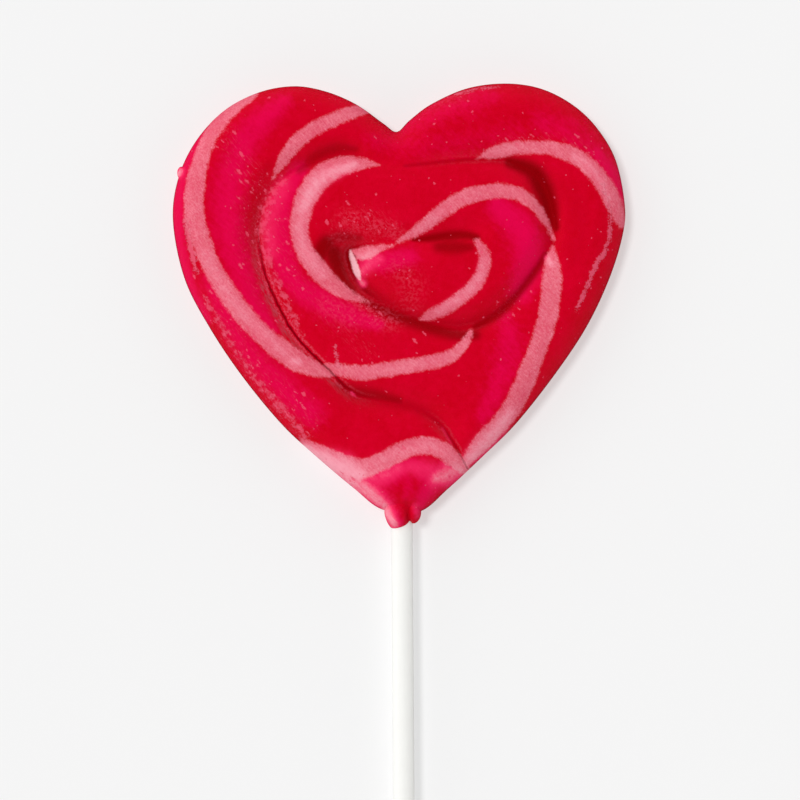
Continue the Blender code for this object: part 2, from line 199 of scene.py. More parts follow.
# Where air in the sugar makes it pale and cloudy: X, Y and half width
CLOUD_ROUTES = (
    (0.6, ((-7.0, 7.4, 0.8), (-5.8, 7.4, 1.2), (-4.2, 8.0, 0.9))),
    (0.5, ((-6.6, 4.6, 1.2), (-5.4, 5.8, 1.4), (-3.4, 6.9, 0.9))),
    (0.7, ((-6.9, 3.4, 0.6), (-6.3, 2.6, 0.7))),
    (0.75, ((-8.0, 23.6, 1.0), (-13.2, 21.4, 1.5), (-15.4, 19.0, 1.5), (-17.0, 15.6, 1.3))),
    (0.5, ((-17.2, 14.0, 1.2), (-17.5, 11.9, 1.2), (-16.5, 8.3, 1.2), (-13.5, 4.3, 1.2))),
    (0.45, ((14.9, 6.5, 0.9), (13.8, 3.0, 1.0), (10.5, 0.0, 1.0), (7.0, -2.2, 0.9))),
    (0.4, ((-34.0, 8.0, 1.3), (-31.2, 2.5, 1.3), (-26.4, -3.9, 1.3), (-20.0, -9.6, 1.3))),
    (0.3, ((-6.5, -13.1, 0.9), (1.1, -12.0, 0.9), (8.0, -10.6, 0.9))),
    (0.5, ((30.8, 25.0, 0.7), (33.0, 23.6, 1.0), (35.6, 20.5, 0.9), (36.9, 17.6, 0.7))),
    (0.4, ((16.8, 25.8, 0.7), (19.0, 26.2, 0.9), (21.5, 26.6, 0.6))),
    (0.35, ((2.8, 11.6, 0.7), (5.4, 13.6, 0.9), (7.6, 15.4, 0.7))),
    (0.4, ((-6.5, -29.9, 1.3), (0.0, -27.1, 1.2), (5.7, -26.0, 1.2), (10.1, -28.7, 1.0))),
    (1.1, ((-16.6, -26.2, 0.8), (-13.4, -28.6, 2.0), (-9.4, -30.4, 2.4), (-7.0, -31.2, 1.6))),
    (0.95, ((-9.4, -31.8, 1.6), (-6.0, -33.6, 1.6), (-3.4, -35.8, 1.2))),
    (0.9, ((-2.6, -36.4, 1.1), (-1.8, -38.2, 1.2), (-0.8, -39.8, 0.9))),
    (0.45, ((-5.8, -31.6, 2.0), (-3.0, -31.0, 2.0), (0.0, -29.8, 1.4))),
    (0.3, ((-4.5, -32.0, 2.0), (0.5, -29.8, 1.3), (5.5, -30.4, 2.2), (6.0, -32.8, 1.2))),
    (0.72, ((6.6, -31.6, 1.6), (8.6, -31.0, 2.2), (10.4, -30.2, 1.6))),
    (0.3, ((2.9, -36.6, 0.8), (3.3, -38.4, 0.7))),
    (0.9, ((-38.6, 22.6, 0.7), (-38.9, 22.0, 0.7))),
    (0.75, ((19.6, -20.0, 1.0), (17.0, -23.6, 1.6), (13.9, -26.8, 1.6), (11.9, -28.8, 1.0))),
    (0.3, ((-20.4, 20.0, 1.6), (-22.8, 14.5, 1.8), (-22.8, 8.0, 1.6))),
    (0.8, ((26.2, 7.1, 0.6), (26.7, 6.1, 0.7))),
    (0.5, ((-8.3, -16.6, 0.3), (-7.9, -17.1, 0.25))),
    (0.25, ((7.6, -22.8, 0.3), (8.3, -24.0, 0.25), (9.2, -25.6, 0.3))),
    (0.7, ((-18.7, -11.0, 0.9), (-17.6, -11.2, 0.9))),
)

# White end of the cut rope at the tip of the coil: X, Y and width
ROPE_END = {
    "crescent": (
        (-8.6, 8.6, 0.2), (-8.4, 7.6, 0.8), (-8.0, 6.5, 1.0), (-7.6, 5.2, 1.2), (-7.2, 4.2, 1.0),
        (-6.9, 3.4, 0.4),
    ),
}

# Dark slit behind the rope's cut end: X, Y and width
SLITS = {
    "rope_end": ((-8.1, 8.0, 0.1), (-7.6, 7.3, 0.25), (-7.2, 6.6, 0.25), (-7.0, 6.0, 0.1)),
}

# Where the surface is scuffed and full of pinholes: X, Y and half width
SCUFF_ROUTES = (
    (0.8, ((-9.4, 14.2, 1.6), (-5.3, 13.0, 1.8), (-0.5, 11.4, 1.4))),
    (0.95, ((-7.8, -0.2, 1.2), (-4.2, -2.6, 1.8), (-1.4, -4.0, 1.7))),
    (0.8, ((-9.0, -31.6, 1.6), (-5.0, -34.2, 1.6), (-2.4, -36.2, 1.2), (-1.2, -38.6, 1.2))),
    (0.5, ((-11.0, 10.4, 1.4), (-8.0, 11.6, 1.4))),
    (0.6, ((0.2, 33.0, 1.2), (5.3, 34.8, 1.2), (10.6, 36.0, 1.2))),
    (0.55, ((-0.7, 5.4, 1.8), (2.2, 2.6, 2.2), (1.8, -0.6, 2.0))),
    (0.6, ((-8.4, -3.4, 2.0), (-12.6, -1.2, 1.8))),
)

# Painted shade on slopes turned from the light and down into grooves, and painted shadow beside the proud
# inner coil: X, Y and half width
PAINTED_SHADE_ROUTES = (
    (1.0, ((19.5, 24.0, 1.2), (23.5, 22.5, 1.8), (25.4, 19.5, 2.2), (26.6, 16.2, 1.8), (27.6, 12.5, 0.8))),
    (0.25, ((26.5, 21.0, 2.5), (30.5, 17.0, 3.0), (31.0, 12.0, 3.0), (30.5, 7.0, 2.5))),
    (0.9, ((2.5, 10.3, 0.4), (5.5, 10.6, 0.9), (9.0, 11.0, 1.1), (11.9, 11.1, 1.0), (13.6, 10.7, 0.8))),
    (0.7, ((7.0, 9.0, 1.4), (10.0, 9.0, 1.8), (12.5, 9.0, 1.0))),
    (1.0, ((-14.2, 5.6, 1.1), (-13.8, 8.2, 1.7), (-12.7, 9.8, 1.7))),
    (0.6, ((-12.6, 10.2, 1.7), (-10.2, 10.8, 1.5), (-7.0, 10.6, 1.0))),
    (1.0, ((-11.6, 8.0, 1.9), (-10.6, 5.4, 1.7), (-9.6, 3.2, 1.3), (-8.1, 1.2, 0.9))),
    (0.8, ((-7.4, 0.4, 0.8), (-3.0, -2.0, 1.3), (1.8, -3.9, 1.5), (9.0, -6.2, 1.5), (13.5, -6.4, 1.2))),
    (0.8, ((13.5, -5.0, 1.0), (17.7, -2.5, 1.1), (21.0, 0.9, 1.0), (24.1, 4.9, 1.0), (25.9, 8.0, 0.6))),
    (0.55, ((-17.5, 22.5, 1.0), (-14.3, 25.0, 1.6), (-10.8, 26.4, 1.6), (-7.6, 26.2, 0.8))),
    (0.25, ((-23.2, 23.7, 1.2), (-25.3, 17.5, 1.7), (-25.8, 10.4, 1.7), (-24.8, 5.1, 1.2))),
    (0.35, ((1.2, -35.4, 0.4), (1.3, -37.2, 0.8), (1.4, -39.3, 0.4))),
    (0.65, ((-10.6, -15.0, 1.0), (-8.0, -16.3, 1.7), (-4.0, -17.0, 1.5), (0.0, -18.0, 1.0))),
    (0.45, ((1.0, 23.3, 0.5), (7.0, 23.9, 0.6), (13.5, 24.3, 0.7), (18.5, 24.2, 1.0))),
    (0.42, ((-7.8, -17.0, 1.2), (-1.6, -18.2, 1.6), (4.6, -20.0, 1.4), (8.1, -23.2, 1.2),
           (10.4, -26.7, 0.8))),
)

# Where short scratches run down to the right: X, Y and half width
SCRATCH_ROUTES = (
    (1.0, ((-10.5, 12.5, 2.0), (-5.8, 13.2, 2.4), (-1.2, 12.0, 2.0))),
    (0.9, ((-30.5, 29.5, 1.8), (-28.4, 24.5, 2.4), (-25.0, 20.5, 2.4))),
    (0.6, ((-27.0, 16.5, 2.2), (-26.5, 9.0, 2.2), (-24.0, 2.0, 2.0), (-20.5, -3.5, 2.0))),
    (0.7, ((-32.6, 3.0, 1.8), (-28.0, -6.5, 2.0), (-23.0, -14.0, 2.6), (-16.0, -21.5, 2.4))),
    (0.8, ((-33.8, -1.0, 1.2), (-29.0, -9.0, 1.4), (-23.5, -16.8, 1.6), (-17.5, -23.5, 1.6))),
    (0.7, ((0.2, 33.4, 1.4), (5.3, 35.0, 1.6), (11.0, 36.4, 1.6))),
    (0.5, ((-20.5, 14.0, 2.2), (-19.0, 5.0, 2.2), (-13.0, -2.0, 2.2), (-6.0, -9.0, 2.4))),
    (0.4, ((20.4, 1.6, 2.0), (18.0, -3.0, 2.0))),
    (0.8, ((-9.0, -31.6, 1.8), (-5.0, -34.2, 1.6), (-1.6, -37.4, 1.4))),
    (0.6, ((7.0, -30.0, 1.6), (9.0, -31.6, 1.4))),
    (0.7, ((17.0, 27.4, 1.0), (24.0, 28.2, 1.1), (30.5, 27.0, 1.3), (35.0, 23.8, 1.1))),
)

# The marks that the head's surface stores point by point
STRIPE_MARKS = {
    "stripe": PALE_STRIPES,
    "faint_stripe": FAINT_STRIPES,
    "hairline": HAIRLINES,
    "rope_end": ROPE_END,
    "slit": SLITS,
}
ROUTE_MARKS = {
    # Partly cloudy sugar, partly painted sheen
    "magenta_and_sheen": MAGENTA_AND_SHEEN_ROUTES,
    "cloud": CLOUD_ROUTES,
    "scuff": SCUFF_ROUTES,
    "scratch": SCRATCH_ROUTES,
}


def length_setting(name, description, default):
    """A length that the user can change."""
    return FloatProperty(name=name, description=description, default=default, unit="LENGTH")


def colour_setting(name, description, default):
    """A colour that the user can change."""
    return FloatVectorProperty(
        name=name, description=description, default=default, subtype="COLOR", min=0.0, max=1.0)


def strength_setting(name, description, default):
    """A strength of light that the user can change."""
    return FloatProperty(name=name, description=description, default=default, min=0.0)


class LollipopSizes(bpy.types.PropertyGroup):
    """Sizes of the head and the stick."""

    head_width: length_setting(
        "Head width", "Widest part of the heart", round((HEAD_HIGH[0] - HEAD_LOW[0]) / MM) * MM)
    head_height: length_setting(
        "Head thickness", "Top of the inner coil above the flat back", HEAD_HIGH[2])
    outer_coil_drop: length_setting(
        "Outer coil drop", "How much lower the outer coil is than the inner one", 0.0015)
    equator: length_setting("Equator", "Height of the heart's widest section", 0.0043)
    face_rim: length_setting("Face rim", "How far the rounded rim reaches over the face", 0.006)
    back_rim: length_setting("Back rim", "How far the rounded rim reaches under the back", 0.0036)
    stick_diameter: length_setting(
        "Stick diameter", "Outer diameter of the rolled paper stick", STICK_HIGH[2] - STICK_LOW[2])
    stick_length: length_setting(
        "Stick length", "Whole length of the stick, with the part in the head", 0.15)
    paper_thickness: length_setting(
        "Paper thickness", "Thickness of one turn of the rolled paper", 0.00013)


class LollipopColours(bpy.types.PropertyGroup):
    """Colours of the sugar, the stick and the floor."""

    # Painted shade, laid into the grooves, onto slopes turned from the light and round the rim
    painted_shade_red: colour_setting("Deep red", "Clear red sugar in the valleys", (0.31, 0.0, 0.003))
    shaded_red: colour_setting("Shaded red", "Clear red sugar where it is thick", (0.595, 0.0, 0.011))
    bright_red: colour_setting("Bright red", "Clear red sugar near the surface", (0.68, 0.0003, 0.021))
    # Partly cloudy sugar, partly painted sheen on the crests and rims that face the light
    magenta_and_sheen: colour_setting("Magenta", "Cloudy red sugar", (0.78, 0.0015, 0.066))
    stripe_pink: colour_setting("Stripe pink", "Body of the pale stripes", (0.76, 0.090, 0.158))
    stripe_pale: colour_setting("Stripe highlight", "Palest streaks in the stripes", (0.90, 0.24, 0.31))
    hot_pink: colour_setting("Hot pink", "Thin clouds of air in the sugar", (0.95, 0.03, 0.14))
    frost: colour_setting("Frost", "Pale clouds of air in the sugar", (0.96, 0.36, 0.45))
    rope_end: colour_setting("Rope end", "Cut end of the sugar rope", (1.0, 0.55, 0.61))
    fleck: colour_setting("Fleck", "Pinholes, flecks and scuffs", (0.85, 0.09, 0.17))
    dust: colour_setting("Dust", "Dull sugar dust beside the crack", (0.36, 0.07, 0.10))
    crack: colour_setting("Crack", "Bottom of the crack between two turns", (0.14, 0.0, 0.003))
    paper: colour_setting("Paper", "White paper of the stick", (0.96, 0.96, 0.93))
    floor: colour_setting("Floor", "Plain pale floor", (0.42, 0.42, 0.42))


class LollipopStage(bpy.types.PropertyGroup):
    """The camera and the lights."""

    view_width: length_setting(
        "View width", "Width that the picture covers at the head's widest section", 0.1416)
    view_middle: FloatVectorProperty(
        name="View middle", description="Point at the middle of the picture", size=2,
        subtype="XYZ", unit="LENGTH", default=(0.00018, -0.01788))
    lens: FloatProperty(
        name="Lens", description="Focal length of the camera", default=200.0, unit="CAMERA")
    key_strength: strength_setting("Key light", "Strength of the high light from the left", 1.80)
    side_strength: strength_setting(
        "Side light", "Strength of the low, broad light from the left", 0.3)
    sky_strength: strength_setting("Fill light", "Strength of the even light from all round", 1.0)
    table_glow: strength_setting(
        "Table glow", "Light that comes up through the frosted table", 0.50)


def smooth_curve(anchors, step, closed=False):
    """A smooth curve through the anchors, with points about one step apart."""
    points_per_span = 16
    anchors = np.array(anchors, dtype=float)
    if closed:
        padded = np.vstack([anchors[-1:], anchors, anchors[:2]])
    else:
        padded = np.vstack([2 * anchors[0] - anchors[1], anchors, 2 * anchors[-1] - anchors[-2]])
    share = np.linspace(0.0, 1.0, points_per_span, endpoint=False)[:, None]
    spans = []
    for before, start, end, after in zip(padded, padded[1:], padded[2:], padded[3:]):
        linear = (end - before) * share
        square = (2 * before - 5 * start + 4 * end - after) * share ** 2
        cube = (3 * start - before - 3 * end + after) * share ** 3
        spans.append(start + 0.5 * (linear + square + cube))
    last = anchors[:1] if closed else anchors[-1:]
    fine = np.vstack(spans + [last])
    travelled = np.concatenate([[0.0], np.cumsum(np.linalg.norm(np.diff(fine[:, :2], axis=0), axis=1))])
    count = max(2, round(travelled[-1] / step))
    stations = np.linspace(0.0, travelled[-1], count + 1)
    curve = np.column_stack([np.interp(stations, travelled, column) for column in fine.T])
    return curve[:-1] if closed else curve


def nearest_on_line(points, line, batch=3000):
    """Signed distance of each point to a line, left of its direction positive, and its values there."""
    start = line[:-1, :2]
    run = line[1:, :2] - start
    run_square = (run ** 2).sum(axis=1)
    distances = []
    values = []
    for first in range(0, len(points), batch):
        relative = points[first:first + batch, None, :2] - start
        along = np.clip((relative * run).sum(axis=2) / run_square, 0.0, 1.0)
        offset = relative - along[:, :, None] * run
        square = (offset ** 2).sum(axis=2)
        best = square.argmin(axis=1)
        row = np.arange(len(best))
        side = run[best, 0] * relative[row, best, 1] - run[best, 1] * relative[row, best, 0]
        distances.append(np.sqrt(square[row, best]) * np.where(side < 0.0, -1.0, 1.0))
        share = along[row, best][:, None]
        values.append(line[best, 2:] * (1 - share) + line[best + 1, 2:] * share)
    return np.concatenate(distances), np.vstack(values)


def inside(points, outline, batch=4000):
    """Whether each point lies inside the closed outline, by counting crossings."""
    x0, y0 = outline[:, 0], outline[:, 1]
    x1, y1 = np.roll(x0, -1), np.roll(y0, -1)
    rise = np.where(y1 == y0, 1.0, y1 - y0)
    answers = []
    for first in range(0, len(points), batch):
        x, y = points[first:first + batch, :1], points[first:first + batch, 1:2]
        crossed = ((y0 > y) != (y1 > y)) & (x < x0 + (y - y0) * (x1 - x0) / rise)
        answers.append(crossed.sum(axis=1) % 2 == 1)
    return np.concatenate(answers)


def side_normals(line, closed):
    """Unit normals on the right-hand side of a line of points."""
    xy = line[:, :2]
    tangent = np.roll(xy, -1, axis=0) - np.roll(xy, 1, axis=0)
    if not closed:
        tangent[0] = xy[1] - xy[0]
        tangent[-1] = xy[-1] - xy[-2]
    tangent /= np.linalg.norm(tangent, axis=1)[:, None]
    return np.column_stack([tangent[:, 1], -tangent[:, 0]])


def roundness(share):
    """Quarter-circle rise from 0 at an edge to 1 at a crest."""
    return np.sqrt(1.0 - (1.0 - np.clip(share, 0.0, 1.0)) ** 2)


def lumps(points, wavelength, seed):
    """Smooth random heights between about -1 and 1."""
    shift = Vector((seed * 13.7, seed * 5.3, seed * 9.1))
    return np.array([noise.noise(Vector((x, y, z)) / wavelength + shift) for x, y, z in points])


def arc_rows(reach, turn_step, turn_end):
    """Distances from an edge at which a quarter circle of that reach has turned by equal steps."""
    turns = np.arange(turn_step, turn_end, turn_step)
    return reach * (1.0 - np.cos(np.radians(turns)))


class Sieve:
    """Keeps only points that are a given distance from those kept before."""

    CELL = 0.5

    def __init__(self):
        self.kept = []
        self.cells = {}

    def add(self, points, clearance):
        """Keeps those of the points that aren't within the clearance of a kept one."""
        reach = math.ceil(clearance / self.CELL)
        for x, y in points:
            column, row = math.floor(x / self.CELL), math.floor(y / self.CELL)
            near = (
                other
                for i in range(column - reach, column + reach + 1)
                for j in range(row - reach, row + reach + 1)
                for other in self.cells.get((i, j), ())
            )
            if all((x - a) ** 2 + (y - b) ** 2 > clearance ** 2 for a, b in near):
                self.kept.append((x, y))
                self.cells.setdefault((column, row), []).append((x, y))


class HeartPlan:
    """The head's outline and coil line, and the heights of its face and back, in millimetres."""

    # The relief
    HAIR = 0.05
    ROPE_ROUNDING = 5.2
    GROOVE_REACH = 4.4
    VALLEY_REACH = 5.2
    VALLEY_SHARE = 0.35
    WALL_WIDTH = 0.85
    LINE_ROUNDING = 0.35
    CRACK_DEPTH = 0.4
    CRACK_WIDTH = 0.25
    SEAM_DEPTH = 0.7
    SEAM_ROUNDING = 1.4
    INNER_MIDDLE = (3.0, 6.0)
    INNER_REACH = 20.0
    POCKET_MIDDLE = (-10.6, 7.6)
    POCKET_SIZE = (3.2, 5.0)
    POCKET_DEPTH = 1.1
    LUMP_HEIGHT = 0.10
    SMALL_LUMP_SHARE = 0.4

    # The spacing of the mesh
    CURVE_STEP = 0.42
    RIM_ROW_SHARE = 0.97
    RIM_CLEARANCE = 0.25
    RIM_CLEARANCE_SHARE = 0.6
    CREASE_WIDTH = 0.3
    CREASE_CLEARANCE = 0.05
    GROOVE_CLEARANCE = 0.16
    GROOVE_MARGIN = 0.06
    FILLER_MARGIN = 0.3
    FILLER_SHARE = 0.62

    def __init__(self, sizes):
        self.width = sizes.head_width / MM - self.HAIR
        self.equator = sizes.equator / MM
        self.inner_top = sizes.head_height / MM - self.LUMP_HEIGHT
        self.outer_top = self.inner_top - sizes.outer_coil_drop / MM
        self.face_rim = sizes.face_rim / MM
        self.back_rim = sizes.back_rim / MM
        self.outline = smooth_curve(np.array(OUTLINE) * self.width, self.CURVE_STEP, closed=True)
        self.edge = np.vstack([self.outline, self.outline[:1]])
        scale = (self.width, self.width, 1.0, 1.0, 1.0)
        self.coil = smooth_curve(np.array(COIL_LINE) * scale, self.CURVE_STEP)

    def from_edge(self, points):
        """How far each point is from the outline."""
        return np.abs(nearest_on_line(points, self.edge)[0])

    def within(self, points, margin):
        """Those of the points that lie inside the outline, at least that margin from it."""
        points = points[inside(points, self.outline)]
        return points[self.from_edge(points) > margin] if len(points) else points

    def face_height(self, points):
        """How high the swirl face is at each point."""
        to_groove, groove = nearest_on_line(points, self.coil)
        drop = self.side_drop(to_groove, groove)
        to_groove = np.abs(to_groove)
        rim = roundness(self.from_edge(points) / self.face_rim)
        from_middle = np.linalg.norm(points - self.INNER_MIDDLE, axis=1) / self.INNER_REACH
        crest = self.outer_top + (self.inner_top - self.outer_top) * np.exp(-from_middle ** 2)
        softened = np.hypot(to_groove, self.LINE_ROUNDING)
        crease = np.clip(1.0 - softened / self.GROOVE_REACH, 0.0, 1.0) ** 2
        dip = np.clip(1.0 - (to_groove / self.VALLEY_REACH) ** 2, 0.0, 1.0) ** 3
        valley = drop * (crease * (1.0 - self.VALLEY_SHARE) + dip * self.VALLEY_SHARE)
        valley += self.CRACK_DEPTH * groove[:, 2] * np.exp(-(to_groove / self.CRACK_WIDTH) ** 2)
        in_pocket = (((points - self.POCKET_MIDDLE) / self.POCKET_SIZE) ** 2).sum(axis=1)
        pocket = self.POCKET_DEPTH * np.exp(-in_pocket)
        flat = np.column_stack([points, np.zeros(len(points))])
        broad = lumps(flat, wavelength=7.0, seed=1)
        small = lumps(flat, wavelength=2.4, seed=2)
        uneven = self.LUMP_HEIGHT * broad + self.SMALL_LUMP_SHARE * self.LUMP_HEIGHT * small
        return self.equator + (crest - self.equator - valley - pocket + uneven) * rim

    def side_drop(self, to_groove, groove):
        """How far each side of the groove drops to the line, with a short wall between the two."""
        inner_share = 0.5 + 0.5 * np.tanh(to_groove / self.WALL_WIDTH)
        return groove[:, 0] * inner_share + groove[:, 1] * (1.0 - inner_share)

    def back_height(self, points):
        """How high the flat back with its rounded rim and its seam is at each point."""
        to_groove = np.abs(nearest_on_line(points, self.coil)[0])
        seam = self.SEAM_DEPTH * (1.0 - roundness(to_groove / self.SEAM_ROUNDING))
        rim = roundness(self.from_edge(points) / self.back_rim)
        return self.equator * (1.0 - rim) + seam * rim

    def spread(self, rim_rows, groove_rows, filler_step):
        """Points over the heart: the outline first, rows along rim and groove, an even filler."""
        sieve = Sieve()
        sieve.add(self.outline, 0.0)
        inward = -side_normals(self.outline, True)
        for distance in rim_rows:
            row = self.within(self.outline + inward * distance, self.RIM_ROW_SHARE * distance)
            sieve.add(row, min(self.RIM_CLEARANCE, self.RIM_CLEARANCE_SHARE * distance))
        across = side_normals(self.coil, False)
        for distance in (0.0, *groove_rows):
            clearance = self.CREASE_CLEARANCE if distance < self.CREASE_WIDTH else self.GROOVE_CLEARANCE
            for side in (-1.0, 1.0) if distance else (1.0,):
                row = self.coil[:, :2] + side * distance * across
                sieve.add(self.within(row, self.GROOVE_MARGIN), clearance)
        half = self.width / 2
        line_step = filler_step * math.sin(math.radians(60.0))
        for number, y in enumerate(np.arange(-half, half, line_step)):
            x = np.arange(-half + filler_step / 2 * (number % 2), half, filler_step)
            row = self.within(np.column_stack([x, np.full(len(x), y)]), self.FILLER_MARGIN)
            sieve.add(row, self.FILLER_SHARE * filler_step)
        return np.array(sieve.kept)

    def surface(self, rim_rows, groove_rows, filler_step):
        """Points and triangles that fill the outline; the outline's points stay first."""
        points = self.spread(rim_rows, groove_rows, filler_step)
        loop = list(range(len(self.outline)))
        vertices, _, faces, _, _, _ = delaunay_2d_cdt(
            [Vector(point) for point in points], [], [loop], 1, 1e-6)
        return np.array(vertices), [tuple(face) for face in faces]


def new_object(name, mesh):
    """Puts a mesh into the scene."""
    item = bpy.data.objects.new(name, mesh)
    bpy.context.scene.collection.objects.link(item)
    return item


def object_from(body, name):
    """Turns a finished bmesh into an object."""
    mesh = bpy.data.meshes.new(name)
    body.to_mesh(mesh)
    body.free()
    return new_object(name, mesh)


def make_head_mesh(plan):
    """The face and the back share the outline's points, which run round the widest part."""
    face, face_triangles = plan.surface(
        rim_rows=arc_rows(plan.face_rim, turn_step=8.0, turn_end=60.0),
        groove_rows=arc_rows(plan.ROPE_ROUNDING, turn_step=8.0, turn_end=62.0),
        filler_step=0.45)
    back, back_triangles = plan.surface(
        rim_rows=arc_rows(plan.back_rim, turn_step=10.0, turn_end=95.0),
        groove_rows=arc_rows(plan.SEAM_ROUNDING, turn_step=20.0, turn_end=85.0),
        filler_step=1.0)
    shared = len(plan.outline)
    face_points = np.column_stack([face, plan.face_height(face)])
    back_points = np.column_stack([back, plan.back_height(back)])
    face_points[:shared, 2] = plan.equator
    vertices = np.vstack([face_points, back_points[shared:]]) * MM
    shift = len(face) - shared
    lower = [
        tuple(i if i < shared else i + shift for i in reversed(triangle)) for triangle in back_triangles]
    mesh = bpy.data.meshes.new("sugar_head")
    mesh.from_pydata([tuple(vertex) for vertex in vertices], [], face_triangles + lower)
    mesh.update()
    return mesh


# Sugar drips round the stick and a crumb on the rim, in millimetres: centre and half sizes
DRIPS = (
    ((0.4, -36.4, 4.4), (2.9, 4.0, 3.3)),
    ((-0.2, -37.9, 4.9), (2.35, 2.9, 3.2)),
    ((2.6, -37.5, 4.8), (1.35, 2.2, 2.9)),
    ((-38.5, 22.3, 4.7), (0.75, 1.1, 1.0)),
)

# The stick and its socket in the head: places, lengths and gaps in millimetres, and the lean
STICK_HEIGHT = 4.4
STICK_MOUTH = (0.5, -40.5)
STICK_LEAN = math.radians(0.4)
STICK_INSIDE = 35.0
SOCKET_GAP = 0.05
SOCKET_END_GAP = 0.2
SOCKET_OVERRUN = 12.0


def make_drip(centre, half_sizes):
    """A rounded blob of sugar with a slightly uneven skin."""
    swelling = 0.05
    body = bmesh.new()
    bmesh.ops.create_icosphere(body, subdivisions=5, radius=1.0)
    for vertex in body.verts:
        swell = 1.0 + swelling * noise.noise(vertex.co * 1.7 + Vector(centre))
        vertex.co = (vertex.co * swell) * Vector(half_sizes) + Vector(centre)
    bmesh.ops.scale(body, vec=(MM, MM, MM), verts=body.verts)
    return object_from(body, "drip")


def stick_place(inner_end_depth, length):
    """Where a rod of that length lies when its inner end is a given depth past the mouth."""
    direction = Vector((-math.sin(STICK_LEAN), math.cos(STICK_LEAN), 0.0))
    origin = Vector((*STICK_MOUTH, STICK_HEIGHT)) + direction * (inner_end_depth - length)
    return Matrix.Translation(origin * MM) @ Matrix.Rotation(STICK_LEAN, 4, "Z")


def make_socket(diameter):
    """The rod that the stick's socket is cut with."""
    length = STICK_INSIDE + SOCKET_OVERRUN
    body = bmesh.new()
    upright = Matrix.Rotation(math.radians(-90.0), 4, "X")
    bmesh.ops.create_cone(
        body, cap_ends=True, segments=64, radius1=diameter / 2, radius2=diameter / 2,
        depth=length * MM, matrix=Matrix.Translation((0.0, length / 2 * MM, 0.0)) @ upright)
    place = stick_place(STICK_INSIDE + SOCKET_END_GAP, length)
    bmesh.ops.transform(body, matrix=place, verts=body.verts)
    return object_from(body, "socket")


def combine(target, tool, operation):
    """Applies one Boolean and removes the shape that it used."""
    modifier = target.modifiers.new("combine", "BOOLEAN")
    modifier.operation = operation
    modifier.object = tool
    modifier.solver = "MANIFOLD"
    bpy.context.view_layer.objects.active = target
    bpy.ops.object.modifier_apply(modifier=modifier.name)
    bpy.data.objects.remove(tool, do_unlink=True)


def routes_strength(points, routes, step=0.5):
    """The strongest of several soft routes at each point."""
    strength = np.zeros(len(points))
    for weight, anchors in routes:
        distance, values = nearest_on_line(points, smooth_curve(anchors, step))
        strength = np.maximum(strength, weight * np.exp(-(distance / values[:, 0]) ** 2))
    return strength


def stripe_depth(points, stripes, step=0.4):
    """How far inside the nearest stripe each point is, negative outside."""
    far_outside = -50.0
    depth = np.full(len(points), far_outside)
    for anchors in stripes.values():
        distance, values = nearest_on_line(points, smooth_curve(anchors, step))
        depth = np.maximum(depth, values[:, 0] / 2 - np.abs(distance))
    return depth


def store(mesh, name, values):
    """Saves one value for each point of a mesh."""
    layer = mesh.attributes.new(name, "FLOAT", "POINT")
    layer.data.foreach_set("value", np.asarray(values, dtype=np.float32))


# How far the pattern has moved sideways where it comes out at the back
BACK_SHIFT = (2.5, -2.0)
# Painted shade in the grooves: from which drop of a groove's side, over how much more, and how far away
DARK_DROP = 0.8
DARK_SPAN = 2.2
DARK_REACH = 3.0
# Painted shade in a line round the heart's widest section, where the rim turns from the light: strength,
# width over the face and height
DARK_EDGE = 0.85
DARK_EDGE_WIDTH = 0.22
DARK_EDGE_HEIGHT = 1.5
# How far to each side of the coil line its distance is stored
SIDE_REACH = 4.0


def store_sugar_pattern(mesh, plan):
    """Saves, point by point, where the stripes, tints, painted shade, painted sheen and scuffs lie."""
    flat = np.empty(len(mesh.vertices) * 3)
    mesh.vertices.foreach_get("co", flat)
    plan_xy, height = np.split(flat.reshape(-1, 3) / MM, [2], axis=1)
    below = np.clip((plan.equator - height) / plan.equator, 0.0, 1.0)
    points = plan_xy + below * BACK_SHIFT
    to_groove, groove = nearest_on_line(plan_xy, plan.coil)
    aside = np.abs(to_groove)
    # Painted shade: darker towards the grooves on the side that drops further, joined below with the shade
    # routes and the rim's line
    deep = np.clip((plan.side_drop(to_groove, groove) - DARK_DROP) / DARK_SPAN, 0.0, 1.0)
    near = np.clip(1.0 - aside / DARK_REACH, 0.0, 1.0)
    # Painted shade along the rim's widest section
    on_edge = np.exp(-(plan.from_edge(plan_xy) / DARK_EDGE_WIDTH) ** 2)
    on_edge *= np.exp(-((height[:, 0] - plan.equator) / DARK_EDGE_HEIGHT) ** 2)
    # Painted shade and shadow from the routes, and the painted line round the rim
    shaded = np.maximum(routes_strength(points, PAINTED_SHADE_ROUTES), DARK_EDGE * on_edge)
    store(mesh, "valley", np.maximum(deep * near ** 1.5, shaded))
    store(mesh, "groove_side", np.clip(to_groove, -SIDE_REACH, SIDE_REACH))
    store(mesh, "crack", groove[:, 2] * np.clip(DARK_REACH - aside, 0.0, 1.0))
    for name, stripes in STRIPE_MARKS.items():
        store(mesh, name, stripe_depth(points, stripes))
    for name, routes in ROUTE_MARKS.items():
        store(mesh, name, routes_strength(points, routes))


def feed(tree, item, inputs):
    """Links or sets inputs of a node, each by its name or number."""
    for key, value in inputs.items():
        socket = item.inputs[key]
        if isinstance(value, bpy.types.NodeSocket):
            tree.links.new(value, socket)
        elif socket.type == "RGBA":
            socket.default_value = (*value, 1.0)
        else:
            socket.default_value = value


def add_node(tree, kind, inputs=None, **settings):
    """Adds a node, sets its options and feeds its inputs."""
    item = tree.nodes.new(kind)
    for option, value in settings.items():
        setattr(item, option, value)
    feed(tree, item, inputs or {})
    return item


def calculate(tree, operation, *values, clamp=False):
    """One step of arithmetic."""
    inputs = dict(enumerate(values))
    return add_node(tree, "ShaderNodeMath", inputs, operation=operation, use_clamp=clamp).outputs[0]


